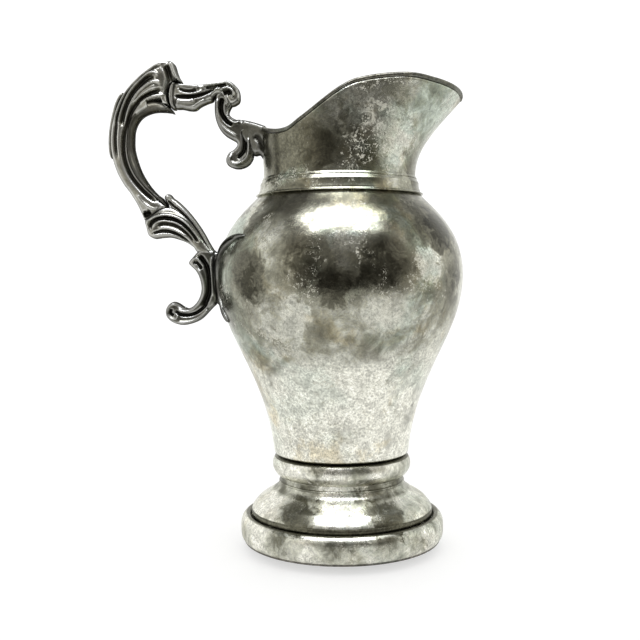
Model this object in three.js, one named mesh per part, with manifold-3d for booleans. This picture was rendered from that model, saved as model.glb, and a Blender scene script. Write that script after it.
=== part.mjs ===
// A silver cream jug: a hollow spun foot and body, a pouring neck with a drawn-out lip,
// and a cast scroll handle. Millimetres, +Z up, origin at the middle of the foot's underside.
// The spout points along +X and the handle stands on the -X side.
import * as THREE from 'three';
import { LoftGeometry } from 'three/addons/geometries/LoftGeometry.js';
import { mergeVertices } from 'three/addons/utils/BufferGeometryUtils.js';
import Module from 'manifold-3d';

// ---- driving dimensions ----
const WALL = 1.1; // sheet metal of the foot, body and neck
const SEAM = 0.3; // clearance left at every cut or soldered joint

const PLATE_RADIUS = 28.5;
const PLATE_THICK = 0.6;
const VENT_RADIUS = 1.5; // air hole that every closed hollow foot has
const VENT_OFFSET = 12;

const FOOT_RADIUS = 29.4; // widest point of the rolled foot band
const FOOT_BAND_HEIGHT = 7.2;
const DOME_RADIUS = 26.3; // outer edge of the stepped dome
const DOME_HEIGHT = 9.0;
const COLLAR_RADIUS = 17.9;
const COLLAR_HEIGHT = 1.9;

const WAIST_RADIUS = 20.0;
const WAIST_HEIGHT = 5.9;

const BODY_BOTTOM_RADIUS = 19.4;
const BELLY_RADIUS = 35.1;
const BELLY_HEIGHT = 52; // from the bottom of the body up to its widest point
const SHOULDER_HEIGHT = 22.2; // from the widest point up to the neck seam
const SHOULDER_OVERHANG = 1.6; // how far the shoulder reaches past the neck wall

const NECK_RADIUS = 21.7;
const NECK_BAND_HEIGHT = 5.3;
const NECK_BAND_FLARE = 2.2;
const RIM_WIRE_RADIUS = 0.6;
const SPOUT_REACH = 12.4; // how far the lip's tip stands out past the neck wall
// Height of the rim above the neck seam, by angle round from the tip of the spout.
const RIM_HEIGHTS = [
  [0, 27.7], [20, 27.3], [50, 29.4], [75, 28.2], [90, 26], [118, 18.9], [138, 16.2], [180, 19.2],
];

const HANDLE_REACH = 30.6; // from the belly's widest point out to the back of the grip
const HANDLE_DEPTH = 4.4; // half of the grip's width across
const SADDLE_THICK = 0.7;

const ROUND_STEPS = 48; // facets round every turned piece

// ---- heights that follow from the stack of turned pieces ----
const Z_BAND = PLATE_THICK;
const Z_DOME = Z_BAND + FOOT_BAND_HEIGHT;
const Z_COLLAR = Z_DOME + DOME_HEIGHT;
const Z_WAIST = Z_COLLAR + COLLAR_HEIGHT;
const Z_BODY = Z_WAIST + WAIST_HEIGHT;
const Z_BELLY = Z_BODY + BELLY_HEIGHT;
const Z_NECK = Z_BELLY + SHOULDER_HEIGHT;

// The handle is drawn about this point: the back of the grip, level with its middle.
const GRIP_X = -(BELLY_RADIUS + HANDLE_REACH);
const GRIP_Z = Z_NECK + 14.6;

const wasm = await Module();
wasm.setup();

// ---- solids ----
function toSolid(geometry) {
  const bare = geometry.index ? geometry.toNonIndexed() : geometry.clone();
  bare.deleteAttribute('normal');
  bare.deleteAttribute('uv');
  const merged = mergeVertices(bare, 1e-3);
  const mesh = new wasm.Mesh({
    numProp: 3,
    vertProperties: merged.attributes.position.array,
    triVerts: new Uint32Array(merged.index.array),
  });
  return new wasm.Manifold(mesh);
}

function toGeometry(solid) {
  const mesh = solid.getMesh();
  const geometry = new THREE.BufferGeometry();
  geometry.setAttribute('position', new THREE.BufferAttribute(mesh.vertProperties, 3));
  geometry.setIndex(new THREE.BufferAttribute(mesh.triVerts, 1));
  geometry.computeVertexNormals();
  return geometry;
}

function turned(profile) {
  const geometry = new THREE.LatheGeometry(profile, ROUND_STEPS);
  return geometry.rotateX(Math.PI / 2);
}

const rz = (r, z) => new THREE.Vector2(r, z);

// ---- the turned profiles ----
function bodyCurve() {
  const shoulderTop = rz(NECK_RADIUS + SHOULDER_OVERHANG, Z_NECK);
  const curve = new THREE.CurvePath();
  curve.add(new THREE.CubicBezierCurve(
    rz(BODY_BOTTOM_RADIUS, Z_BODY),
    rz(BODY_BOTTOM_RADIUS + 0.14 * (BELLY_RADIUS - BODY_BOTTOM_RADIUS), Z_BODY + 0.48 * BELLY_HEIGHT),
    rz(BELLY_RADIUS, Z_BELLY - 0.34 * BELLY_HEIGHT),
    rz(BELLY_RADIUS, Z_BELLY),
  ));
  curve.add(new THREE.CubicBezierCurve(
    rz(BELLY_RADIUS, Z_BELLY),
    rz(BELLY_RADIUS, Z_BELLY + 0.56 * SHOULDER_HEIGHT),
    rz(shoulderTop.x + 0.14 * SHOULDER_HEIGHT, Z_NECK - 0.15 * SHOULDER_HEIGHT),
    shoulderTop,
  ));
  return curve;
}

// The body's outline moved outwards by a distance, square to the surface.
function bodyOutline(offset, steps = 8) {
  const points = [];
  for (const span of bodyCurve().curves) {
    for (let i = points.length ? 1 : 0; i <= steps; i++) {
      const tangent = span.getTangent(i / steps);
      const p = span.getPoint(i / steps);
      points.push(rz(p.x + tangent.y * offset, p.y - tangent.x * offset));
    }
  }
  points[0].y = Z_BODY + Math.max(0, -offset);
  points[points.length - 1].y = Z_NECK;
  return points;
}

function basePlate() {
  const disc = new THREE.CylinderGeometry(PLATE_RADIUS, PLATE_RADIUS, PLATE_THICK, ROUND_STEPS);
  disc.rotateX(Math.PI / 2).translate(0, 0, PLATE_THICK / 2);
  const vent = new THREE.CylinderGeometry(VENT_RADIUS, VENT_RADIUS, 4 * PLATE_THICK, 24);
  vent.rotateX(Math.PI / 2).translate(VENT_OFFSET, 0, 0);
  return toGeometry(toSolid(disc).subtract(toSolid(vent)));
}

function footBand() {
  const lip = DOME_RADIUS + 0.1;
  const top = Z_DOME;
  const outer = new THREE.SplineCurve([
    rz(FOOT_RADIUS - 0.9, Z_BAND),
    rz(FOOT_RADIUS - 0.1, Z_BAND + 1.6),
    rz(FOOT_RADIUS, Z_BAND + 0.45 * FOOT_BAND_HEIGHT),
    rz(FOOT_RADIUS - 0.3, top - 1.7),
    rz(FOOT_RADIUS - 1.2, top - 0.4),
    rz(lip + 0.6, top),
  ]).getPoints(8);
  const inner = [
    rz(lip - 2.4, top),
    rz(lip - 2.4, top - WALL),
    rz(FOOT_RADIUS - 1.6 - WALL, top - WALL),
    rz(FOOT_RADIUS - 0.9 - WALL, Z_BAND),
  ];
  return turned([...outer, ...inner, outer[0]]);
}

function footDome() {
  const step = rz(DOME_RADIUS, Z_DOME + 1.2);
  const outer = new THREE.SplineCurve([
    step,
    rz(DOME_RADIUS - 0.7, Z_DOME + 0.28 * DOME_HEIGHT),
    rz(DOME_RADIUS - 2.4, Z_DOME + 0.47 * DOME_HEIGHT),
    rz(COLLAR_RADIUS + 3.2, Z_DOME + 0.66 * DOME_HEIGHT),
    rz(COLLAR_RADIUS + 0.9, Z_DOME + 0.83 * DOME_HEIGHT),
    rz(COLLAR_RADIUS, Z_COLLAR),
  ]).getPoints(9);
  const inner = outer.map((p) => rz(p.x - WALL, p.y - 0.6 * WALL)).reverse();
  inner[0].y = Z_COLLAR;
  inner.pop();
  return turned([
    rz(DOME_RADIUS, Z_DOME), ...outer, ...inner, rz(DOME_RADIUS - WALL, Z_DOME),
    rz(DOME_RADIUS, Z_DOME),
  ]);
}

function footCollar() {
  const hollow = COLLAR_RADIUS - WALL;
  return turned([
    rz(hollow, Z_COLLAR),
    rz(COLLAR_RADIUS + 0.2, Z_COLLAR),
    rz(COLLAR_RADIUS - 0.1, Z_COLLAR + 0.4 * COLLAR_HEIGHT),
    rz(COLLAR_RADIUS, Z_WAIST),
    rz(hollow, Z_WAIST),
    rz(hollow, Z_COLLAR),
  ]);
}

function waistRing() {
  const outer = new THREE.SplineCurve([
    rz(COLLAR_RADIUS + 0.3, Z_WAIST),
    rz(WAIST_RADIUS - 0.6, Z_WAIST + 0.2 * WAIST_HEIGHT),
    rz(WAIST_RADIUS, Z_WAIST + 0.52 * WAIST_HEIGHT),
    rz(WAIST_RADIUS - 0.25, Z_WAIST + 0.82 * WAIST_HEIGHT),
    rz(BODY_BOTTOM_RADIUS - 0.5, Z_BODY),
  ]).getPoints(8);
  const hollow = COLLAR_RADIUS - WALL;
  return turned([...outer, rz(hollow, Z_BODY), rz(hollow, Z_WAIST), outer[0]]);
}

function bodyShell() {
  const outer = bodyOutline(0);
  const inner = bodyOutline(-WALL).reverse();
  inner[0].x = NECK_RADIUS - WALL; // the neck stands on the shoulder's edge
  const groove = 0.5;
  return turned([
    rz(0, Z_BODY),
    rz(BODY_BOTTOM_RADIUS - groove, Z_BODY),
    rz(BODY_BOTTOM_RADIUS - groove, Z_BODY + groove),
    rz(BODY_BOTTOM_RADIUS, Z_BODY + 1.4 * groove),
    ...outer.slice(1), ...inner,
    rz(0, Z_BODY + WALL),
  ]);
}

function neckBand() {
  const bore = NECK_RADIUS + SEAM / 3;
  const h = NECK_BAND_HEIGHT;
  return turned([
    rz(bore, Z_NECK),
    rz(NECK_RADIUS + NECK_BAND_FLARE - 0.2, Z_NECK),
    rz(NECK_RADIUS + NECK_BAND_FLARE, Z_NECK + 0.3),
    rz(NECK_RADIUS + NECK_BAND_FLARE - 0.2, Z_NECK + 0.7),
    rz(NECK_RADIUS + 0.55 * NECK_BAND_FLARE, Z_NECK + 0.32 * h),
    rz(NECK_RADIUS + 0.4 * NECK_BAND_FLARE, Z_NECK + 0.5 * h),
    rz(NECK_RADIUS + 0.42 * NECK_BAND_FLARE, Z_NECK + 0.66 * h),
    rz(NECK_RADIUS + 0.34 * NECK_BAND_FLARE, Z_NECK + 0.82 * h),
    rz(NECK_RADIUS + 0.2 * NECK_BAND_FLARE, Z_NECK + 0.88 * h),
    rz(NECK_RADIUS + 0.16 * NECK_BAND_FLARE, Z_NECK + h),
    rz(bore, Z_NECK + h),
    rz(bore, Z_NECK),
  ]);
}

// ---- the pouring neck and its lip ----
const rimHeight = new THREE.SplineCurve(RIM_HEIGHTS.map(([angle, height]) => rz(angle, height)));

// Height of the rim above the neck seam at an angle in degrees, the same on both sides.
function rimHeightAt(degrees) {
  const wanted = Math.min(degrees, 360 - degrees);
  let low = 0;
  let high = 1;
  for (let i = 0; i < 30; i++) {
    const middle = (low + high) / 2;
    if (rimHeight.getPoint(middle).x < wanted) low = middle;
    else high = middle;
  }
  return rimHeight.getPoint(low).y;
}

// How far the rim stands out from the axis: round at the back, drawn out to the spout's tip.
function rimRadiusAt(degrees) {
  const toFront = (1 + Math.cos(THREE.MathUtils.degToRad(degrees))) / 2;
  return NECK_RADIUS + 0.6 + SPOUT_REACH * Math.pow(toFront, 4.2);
}

// The neck's upright outline at an angle: straight inside the band, then leaning out to the rim.
function neckOutline(degrees, offset, steps) {
  const reach = rimRadiusAt(degrees) - NECK_RADIUS;
  const start = Z_NECK + NECK_BAND_HEIGHT;
  const rise = rimHeightAt(degrees) - NECK_BAND_HEIGHT;
  const curve = new THREE.CubicBezierCurve(
    rz(NECK_RADIUS, start),
    rz(NECK_RADIUS, start + 0.38 * rise),
    rz(NECK_RADIUS + 0.46 * reach, start + 0.64 * rise),
    rz(NECK_RADIUS + reach, start + rise),
  );
  const points = [rz(NECK_RADIUS + offset, Z_NECK)];
  for (let i = 0; i <= steps; i++) {
    const tangent = curve.getTangent(i / steps);
    const p = curve.getPoint(i / steps);
    points.push(rz(p.x + tangent.y * offset, p.y - tangent.x * offset));
  }
  return points;
}

function swung(point, degrees) {
  const a = THREE.MathUtils.degToRad(degrees);
  return new THREE.Vector3(point.x * Math.cos(a), point.x * Math.sin(a), point.y);
}

// A closed outline carried all the way round the axis; the outline may change with the angle.
function swungRound(outlineAt, stepDegrees) {
  const sections = [];
  for (let degrees = 0; degrees <= 360; degrees += stepDegrees) {
    const around = degrees % 360;
    sections.push(outlineAt(around).map((p) => swung(p, around)));
  }
  return new LoftGeometry(sections);
}

const NECK_STEP = 7.5; // degrees between the neck's sections

function neckShell(outerOffset, innerOffset) {
  return swungRound((degrees) => [
    ...neckOutline(degrees, innerOffset, 7),
    ...neckOutline(degrees, outerOffset, 7).reverse(),
  ], NECK_STEP);
}

function rimWire(grow = 0) {
  const lift = RIM_WIRE_RADIUS + SEAM / 3;
  const radius = RIM_WIRE_RADIUS + grow;
  return swungRound((degrees) => {
    const [before, top] = neckOutline(degrees, -WALL / 2, 20).slice(-2);
    const along = top.clone().sub(before).normalize();
    const centre = top.clone().addScaledVector(along, lift);
    const ring = [];
    for (let i = 0; i < 6; i++) {
      const a = i * Math.PI / 3;
      ring.push(rz(centre.x + radius * Math.cos(a), centre.y - radius * Math.sin(a)));
    }
    return ring;
  }, NECK_STEP);
}

// ---- the cast handle ----
// A bar of rounded section that follows a smooth line in the handle's plane. Each station is
// [x, z, half height, half depth], measured from the back of the grip.
function scroll(stations, { grow = 0, span = 3, sides = 10 } = {}) {
  const line = new THREE.CatmullRomCurve3(stations.map(([x, z]) => new THREE.Vector3(x, 0, z)));
  const sizes = new THREE.CatmullRomCurve3(stations.map(([, , a, b]) => new THREE.Vector3(a, b, 0)));
  const steps = span * (stations.length - 1);
  const sections = [];
  for (let i = 0; i <= steps; i++) {
    const along = line.getTangent(i / steps);
    const across = new THREE.Vector3(-along.z, 0, along.x);
    const endwards = i === 0 ? -grow : i === steps ? grow : 0;
    const centre = line.getPoint(i / steps).addScaledVector(along, endwards);
    const size = sizes.getPoint(i / steps);
    const ring = [];
    for (let k = 0; k < sides; k++) {
      const a = (k / sides) * 2 * Math.PI;
      const p = centre.clone().addScaledVector(across, (size.x + grow) * Math.cos(a));
      p.y = -(size.y + grow) * Math.sin(a);
      ring.push(p);
    }
    sections.push(ring);
  }
  const geometry = new LoftGeometry(sections, { capStart: true, capEnd: true });
  return toSolid(geometry.translate(GRIP_X, 0, GRIP_Z));
}

// A round boss across the handle, where a scroll curls up on itself.
function eye(x, z, radius, halfDepth, grow = 0) {
  const profile = [
    rz(0, -halfDepth - grow),
    rz(0.62 * radius + grow, -halfDepth - grow),
    rz(radius + grow, -0.55 * halfDepth),
    rz(radius + grow, 0.55 * halfDepth),
    rz(0.62 * radius + grow, halfDepth + grow),
    rz(0, halfDepth + grow),
  ];
  const geometry = new THREE.LatheGeometry(profile, 16);
  return toSolid(geometry.translate(GRIP_X + x, 0, GRIP_Z + z));
}

const deep = (share) => share * HANDLE_DEPTH;

const TONGUE_LINE = [
  [18.3, 9.7, 0.35, deep(0.2)],
  [14.6, 11.1, 1.2, deep(0.55)],
  [11, 9.6, 1.6, deep(0.7)],
  [8.4, 5.6, 1.5, deep(0.75)],
  [7.6, 0, 1.3, deep(0.75)],
  [8.9, -6.4, 1.2, deep(0.7)],
  [11.6, -11.4, 1, deep(0.6)],
  [14, -13.8, 0.7, deep(0.5)],
];
const GRIP_LINE = [
  [18.3, 17.4, 6.6, deep(1.3)],
  [12.5, 17.2, 5.6, deep(1.25)],
  [7.4, 13.3, 3.9, deep(1.1)],
  [4, 7.7, 3, deep(1)],
  [2.9, 0, 2.9, deep(1)],
  [4.4, -7.3, 2.8, deep(0.95)],
  [7.7, -13.1, 2.8, deep(0.95)],
  [10.6, -17.2, 3.4, deep(1)],
];
const BACK_RIB_LINE = [
  [4, 15, 0.45, deep(0.25)],
  [1, 9, 0.8, deep(0.4)],
  [-0.1, 2, 0.8, deep(0.4)],
  [0.3, -4, 0.45, deep(0.25)],
];
const LEAF_LINE = [
  [10.4, -16.6, 3.4, deep(1)],
  [13.4, -21.6, 4.3, deep(1.1)],
  [18, -24.2, 3.4, deep(1.05)],
  [22.4, -26.6, 2.6, deep(0.95)],
  [26.2, -30.8, 2.1, deep(0.85)],
];
const RIB_LINE = [
  [16, -13.7, 0.6, deep(0.35)],
  [19.2, -18.2, 0.9, deep(0.5)],
  [23.4, -22.7, 0.9, deep(0.5)],
  [27, -27.4, 0.9, deep(0.5)],
  [28.9, -30.4, 0.9, deep(0.5)],
];
const LOWER_LINE = [
  [26.8, -31, 2.1, deep(0.85)],
  [26.9, -36.5, 1.7, deep(0.8)],
  [26.8, -41.5, 1.4, deep(0.75)],
  [25.2, -46.1, 1.9, deep(0.75)],
  [22.2, -49.3, 2.1, deep(0.75)],
  [18.6, -49.6, 2, deep(0.75)],
];
const NUB_LINE = [
  [26.6, -36.2, 1.9, deep(0.7)],
  [24, -34.4, 1.3, deep(0.5)],
  [22, -33.4, 0.4, deep(0.25)],
];
const BAR_LINE = [
  [20.2, 14.4, 3, deep(0.75)],
  [21, 14.4, 3.3, deep(0.75)],
  [23, 13.6, 3.7, deep(0.8)],
  [25.8, 13.8, 3.1, deep(0.7)],
  [29, 14.8, 2.5, deep(0.65)],
  [32, 15, 2.8, deep(0.65)],
];
const BEAD_LINE = [
  [18.7, 14.5, 2.6, deep(0.7)],
  [19.3, 14.5, 3.4, deep(0.85)],
  [19.9, 14.5, 2.6, deep(0.7)],
];
const STEM_LINE = [
  [31.9, 10.9, 2, deep(0.65)],
  [32.4, 7.6, 2.1, deep(0.65)],
  [34.6, 4, 2.6, deep(0.65)],
  [37.4, 1.6, 2.7, deep(0.65)],
  [38.8, -1.9, 2.6, deep(0.65)],
  [36.6, -4.6, 2.2, deep(0.65)],
];

const TOP_EYE = [33.9, 14.6, 3.4, deep(0.75)];
const STEM_EYE = [35.4, -4, 2.5, deep(0.75)];
const LOWER_EYE = [17.9, -47.6, 3, deep(0.85)];

function handleParts() {
  const tongue = scroll(TONGUE_LINE);
  const backRib = scroll(BACK_RIB_LINE);
  const grip = scroll(GRIP_LINE)
    .subtract(scroll(TONGUE_LINE, { grow: SEAM }))
    .subtract(scroll(BACK_RIB_LINE, { grow: SEAM }));
  const rib = scroll(RIB_LINE);
  const leaf = scroll(LEAF_LINE)
    .subtract(scroll(GRIP_LINE, { grow: SEAM }))
    .subtract(scroll(TONGUE_LINE, { grow: SEAM }))
    .subtract(scroll(RIB_LINE, { grow: SEAM }));
  const lower = scroll(LOWER_LINE).add(eye(...LOWER_EYE)).add(scroll(NUB_LINE))
    .subtract(scroll(LEAF_LINE, { grow: SEAM }))
    .subtract(scroll(RIB_LINE, { grow: SEAM }));
  const bead = scroll(BEAD_LINE);
  const bar = scroll(BAR_LINE).add(eye(...TOP_EYE));
  const stem = scroll(STEM_LINE).add(eye(...STEM_EYE))
    .subtract(scroll(BAR_LINE, { grow: SEAM }))
    .subtract(eye(...TOP_EYE, SEAM));
  return { tongue, backRib, grip, rib, leaf, lower, bead, bar, stem };
}

// The flared bracket that carries the stem across to the back of the neck.
function neckBracket() {
  const stemX = GRIP_X + 36;
  const neckX = -NECK_RADIUS + 0.8;
  const mix = (t) => THREE.MathUtils.lerp(stemX, neckX, t);
  const stations = [
    [mix(0), GRIP_Z + 4.4, 3.3, deep(0.5)],
    [mix(0.45), GRIP_Z + 2.2, 4.3, deep(0.75)],
    [mix(0.7), GRIP_Z + 1.6, 4.3, deep(1.1)],
    [mix(1), GRIP_Z - 0.3, 3.5, deep(1.4)],
  ];
  const sections = stations.map(([x, z, halfHeight, halfDepth]) => {
    const ring = [];
    for (let k = 0; k < 16; k++) {
      const a = (k / 16) * 2 * Math.PI;
      ring.push(new THREE.Vector3(x, halfDepth * Math.cos(a), z + halfHeight * Math.sin(a)));
    }
    return ring;
  });
  const block = toSolid(new LoftGeometry(sections, { capStart: true, capEnd: true }));
  return block
    .subtract(toSolid(neckShell(SEAM, 4 - NECK_RADIUS)))
    .subtract(toSolid(rimWire(SEAM)))
    .subtract(scroll(STEM_LINE, { grow: SEAM }))
    .subtract(eye(...STEM_EYE, SEAM));
}

// A layer of even thickness that follows the body's surface.
function bodyLayer(from, to) {
  const outer = bodyOutline(to);
  const inner = bodyOutline(from).reverse();
  return toSolid(turned([...outer, ...inner, outer[0]]));
}

// The forked plate soldered to the belly: two long horns above, two short leaves below.
function saddleOutline(grow) {
  const z = Z_BELLY - 2;
  const shape = new THREE.Shape();
  const g = grow;
  shape.moveTo(2.4 + g, z);
  shape.quadraticCurveTo(3 + g, z + 5, 8, z + 7.6 - g);
  shape.quadraticCurveTo(13, z + 10, 19 + g, z + 12.6);
  shape.quadraticCurveTo(12, z + 12 + g, 7, z + 10.6 + g);
  shape.quadraticCurveTo(3, z + 9.4 + g, 0, z + 9.2 + g);
  shape.quadraticCurveTo(-3, z + 9.4 + g, -7, z + 10.6 + g);
  shape.quadraticCurveTo(-12, z + 12 + g, -19 - g, z + 12.6);
  shape.quadraticCurveTo(-13, z + 10, -8, z + 7.6 - g);
  shape.quadraticCurveTo(-3 - g, z + 5, -2.4 - g, z);
  shape.quadraticCurveTo(-3 - g, z - 4, -7 - g, z - 7);
  shape.quadraticCurveTo(-9.5, z - 8.6, -10.6 - g, z - 10.8 - g);
  shape.quadraticCurveTo(-6, z - 9.6 - g, 0, z - 8.6 - g);
  shape.quadraticCurveTo(6, z - 9.6 - g, 10.6 + g, z - 10.8 - g);
  shape.quadraticCurveTo(9.5, z - 8.6, 7 + g, z - 7);
  shape.quadraticCurveTo(3 + g, z - 4, 2.4 + g, z);
  return shape;
}

function saddle(grow = 0) {
  const plate = new THREE.ExtrudeGeometry(saddleOutline(grow), {
    depth: 2 * BELLY_RADIUS, bevelEnabled: false, curveSegments: 4,
  });
  // The outline is drawn across (X) and up (Y), then turned to face along -X.
  plate.rotateX(Math.PI / 2).rotateZ(-Math.PI / 2);
  return toSolid(plate).intersect(bodyLayer(SEAM - grow, SEAM + SADDLE_THICK + grow));
}

// The upright web that joins the lower scroll to the saddle.
function bodyWeb() {
  const z = Z_BELLY - 2;
  const line = new THREE.Shape();
  const back = GRIP_X + 27.5;
  const front = -BELLY_RADIUS + 2.5;
  line.moveTo(back, z - 7.6);
  line.quadraticCurveTo(-BELLY_RADIUS - 0.6, z - 8, front, z - 7.4);
  line.lineTo(front, z + 8.2);
  line.quadraticCurveTo(-BELLY_RADIUS, z + 7.4, back, z + 7);
  line.closePath();
  const depth = deep(0.62);
  const plate = new THREE.ExtrudeGeometry(line, {
    depth, bevelEnabled: false, curveSegments: 4,
  });
  plate.rotateX(Math.PI / 2).translate(0, depth / 2, 0);
  return toSolid(plate)
    .subtract(bodyLayer(-3, SEAM + SADDLE_THICK + SEAM))
    .subtract(scroll(LOWER_LINE, { grow: SEAM }))
    .subtract(scroll(LEAF_LINE, { grow: SEAM }))
    .subtract(scroll(RIB_LINE, { grow: SEAM }));
}

// ---- finishes ----
const polished = () => new THREE.MeshStandardMaterial({ color: 0xb9b6aa, roughness: 0.28, metalness: 1 });
const tarnished = () => new THREE.MeshStandardMaterial({ color: 0x8c897d, roughness: 0.33, metalness: 1 });
const castSilver = () => new THREE.MeshStandardMaterial({ color: 0x77766f, roughness: 0.36, metalness: 1 });
const plainPlate = () => new THREE.MeshStandardMaterial({ color: 0x6d6c66, roughness: 0.5, metalness: 1 });

const jug = new THREE.Group();

function place(name, shape, material) {
  const mesh = new THREE.Mesh(shape.isBufferGeometry ? shape : toGeometry(shape), material);
  mesh.name = name;
  jug.add(mesh);
}

place('base_plate', basePlate(), plainPlate());
place('foot_band', footBand(), polished());
place('foot_dome', footDome(), polished());
place('foot_collar', footCollar(), polished());
place('waist_ring', waistRing(), polished());
place('body_shell', bodyShell(), polished());
place('neck_band', neckBand(), tarnished());
place('pouring_neck', neckShell(0, -WALL), tarnished());
place('rim_wire', rimWire(), tarnished());

const parts = handleParts();
place('handle_grip', parts.grip, castSilver());
place('handle_inner_tongue', parts.tongue, castSilver());
place('handle_back_rib', parts.backRib, castSilver());
place('handle_lower_leaf', parts.leaf, castSilver());
place('handle_lower_rib', parts.rib, castSilver());
place('handle_lower_scroll', parts.lower, castSilver());
place('handle_bead', parts.bead, castSilver());
place('handle_top_bar', parts.bar, castSilver());
place('handle_neck_scroll', parts.stem, castSilver());
place('handle_neck_bracket', neckBracket(), castSilver());
place('handle_body_web', bodyWeb(), castSilver());
place('body_saddle', saddle(), castSilver());

export default jug;
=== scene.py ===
import math

import bmesh
import bpy
import numpy as np
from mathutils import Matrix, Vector


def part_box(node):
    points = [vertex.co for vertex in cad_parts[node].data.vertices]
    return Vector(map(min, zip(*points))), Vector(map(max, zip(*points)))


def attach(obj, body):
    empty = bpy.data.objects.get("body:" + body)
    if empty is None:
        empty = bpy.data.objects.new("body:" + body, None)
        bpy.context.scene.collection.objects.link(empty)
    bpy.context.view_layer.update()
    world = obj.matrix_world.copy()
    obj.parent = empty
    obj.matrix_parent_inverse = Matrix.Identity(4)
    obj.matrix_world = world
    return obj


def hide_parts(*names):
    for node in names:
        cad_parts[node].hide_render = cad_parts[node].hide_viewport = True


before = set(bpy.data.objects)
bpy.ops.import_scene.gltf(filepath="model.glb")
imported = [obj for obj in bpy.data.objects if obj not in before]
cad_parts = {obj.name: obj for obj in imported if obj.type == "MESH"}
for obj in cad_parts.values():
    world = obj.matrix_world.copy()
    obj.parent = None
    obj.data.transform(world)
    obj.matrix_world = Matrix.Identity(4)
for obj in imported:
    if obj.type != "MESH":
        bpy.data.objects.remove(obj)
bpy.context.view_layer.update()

MM = 0.001  # lengths are in metres, unless a comment says mm

# ------------------------------ sizes from the frame


def low(node, axis):
    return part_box(node)[0][axis]


def high(node, axis):
    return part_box(node)[1][axis]


X, Z = 0, 2
PLATE_R, FOOT_R = high("base_plate", X), high("foot_band", X)
DOME_R, WAIST_R = high("foot_dome", X), high("waist_ring", X)
BELLY_R, BAND_R = high("body_shell", X), high("neck_band", X)
Z_BAND, Z_DOME = low("foot_band", Z), low("foot_dome", Z)
Z_COLLAR, Z_WAIST = low("foot_collar", Z), low("waist_ring", Z)
Z_BODY, Z_NECK = low("body_shell", Z), low("pouring_neck", Z)
Z_BAND_TOP = high("neck_band", Z)

WALL = 1.1 * MM
BODY_FOOT_R = BELLY_R - 15.7 * MM
BELLY_RISE = 52 * MM
Z_BELLY = Z_BODY + BELLY_RISE
SHOULDER_RISE = Z_NECK - Z_BELLY
NECK_R = BAND_R - 2.2 * MM
SHOULDER_R = NECK_R + 1.6 * MM
COLLAR_R = high("foot_collar", X) - 0.2 * MM
LIP_FLARE = 0.6 * MM
SPOUT_REACH = 12.25 * MM
SPOUT_SHARPNESS = 4.2
RIM_WIRE_R = 0.62 * MM
RIM_WIRE_SEAM = 0.02 * MM
# The rim's height above the neck seam in mm, by the angle round from the spout's tip in degrees.
RIM_ANGLES = (0, 9, 20, 34, 50, 75, 90, 118, 138, 180)
RIM_RISES = (26.5, 27.3, 28.0, 28.8, 29.5, 28.2, 26.0, 18.9, 16.2, 19.2)

# The handle is drawn from the back of the grip, level with its middle.
GRIP_X = -(BELLY_R + 30.6 * MM)
GRIP_Z = Z_NECK + 14.6 * MM
Z_SADDLE = Z_BELLY - 2 * MM

# How finely the shapes are drawn.
ROUND, PLATE_ROUND, VENT_ROUND = 288, 160, 32  # facets round a turned piece
BODY_LINE = 70  # points along each half of the body's outline
NECK_LINE, WIRE_LINE = 44, 20
NECK_STEP = 1.25  # degrees
PITCH, FINE_PITCH = 0.2, 0.17  # grids of the castings, in mm

# How deep a dent is, beside its softened surroundings, when it counts as fully hollow.
MOULDING_DENT, NECK_BAND_DENT, NECK_DENT = 0.12 * MM, 0.1 * MM, 0.3 * MM
CASTING_DENT, SADDLE_DENT = 0.13 * MM, 0.1 * MM

# ------------------------------ lines


def bezier(a, b, c, d, count):
    t = np.linspace(0, 1, count)[:, None]
    a, b, c, d = (np.array(p, float) for p in (a, b, c, d))
    return (1 - t) ** 3 * a + 3 * (1 - t) ** 2 * t * b + 3 * (1 - t) * t * t * c + t**3 * d


def spans(p, per_span):
    """Catmull-Rom points from the second point to the last but one."""
    t = np.linspace(0, 1, per_span, endpoint=False)[:, None]
    out = []
    for i in range(1, len(p) - 2):
        a, b, c, d = p[i - 1 : i + 3]
        bent = 2 * b + (c - a) * t + (2 * a - 5 * b + 4 * c - d) * t**2 + (3 * b - a - 3 * c + d) * t**3
        out.append(0.5 * bent)
    return out


def smooth(points, per_span):
    """A smooth line through the points, of any dimension."""
    p = np.array(points, float)
    p = np.vstack([2 * p[0] - p[1], p, 2 * p[-1] - p[-2]])
    return np.vstack([*spans(p, per_span), p[-2][None]])


def closed_line(points, per_span=6):
    """A smooth closed line through the points, without its first point at the end again."""
    p = np.array(points, float)
    return np.vstack(spans(np.vstack([p[-1], p, p[:2]]), per_span))


def rounded(points, radius):
    """The polyline with each inner corner replaced by a small arc."""
    p = [np.array(q, float) for q in points]
    out = [p[0]]
    for before, corner, after in zip(p, p[1:], p[2:]):
        back, on = before - corner, after - corner
        lb, lo = np.linalg.norm(back), np.linalg.norm(on)
        cut = min(radius, 0.45 * lb, 0.45 * lo)
        start, end = corner + back / lb * cut, corner + on / lo * cut
        for t in np.linspace(0, 1, 5):
            out.append((1 - t) ** 2 * start + 2 * t * (1 - t) * corner + t * t * end)
    out.append(p[-1])
    return np.array(out)


def shifted(line, offset):
    """The line moved sideways by offset, and the direction in which it ends."""
    slope = np.gradient(line, axis=0)
    slope /= np.linalg.norm(slope, axis=1)[:, None]
    return line + offset * np.stack([slope[:, 1], -slope[:, 0]], axis=1), slope[-1]


def swing(points, turn):
    """Points (radius, height) turned about the jug's axis by turn, in radians, from the spout."""
    points = np.array(points)
    radius, height = points[:, 0], points[:, 1]
    return np.stack([radius * math.cos(turn), radius * math.sin(turn), height], axis=1)


# ------------------------------ meshes


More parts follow.
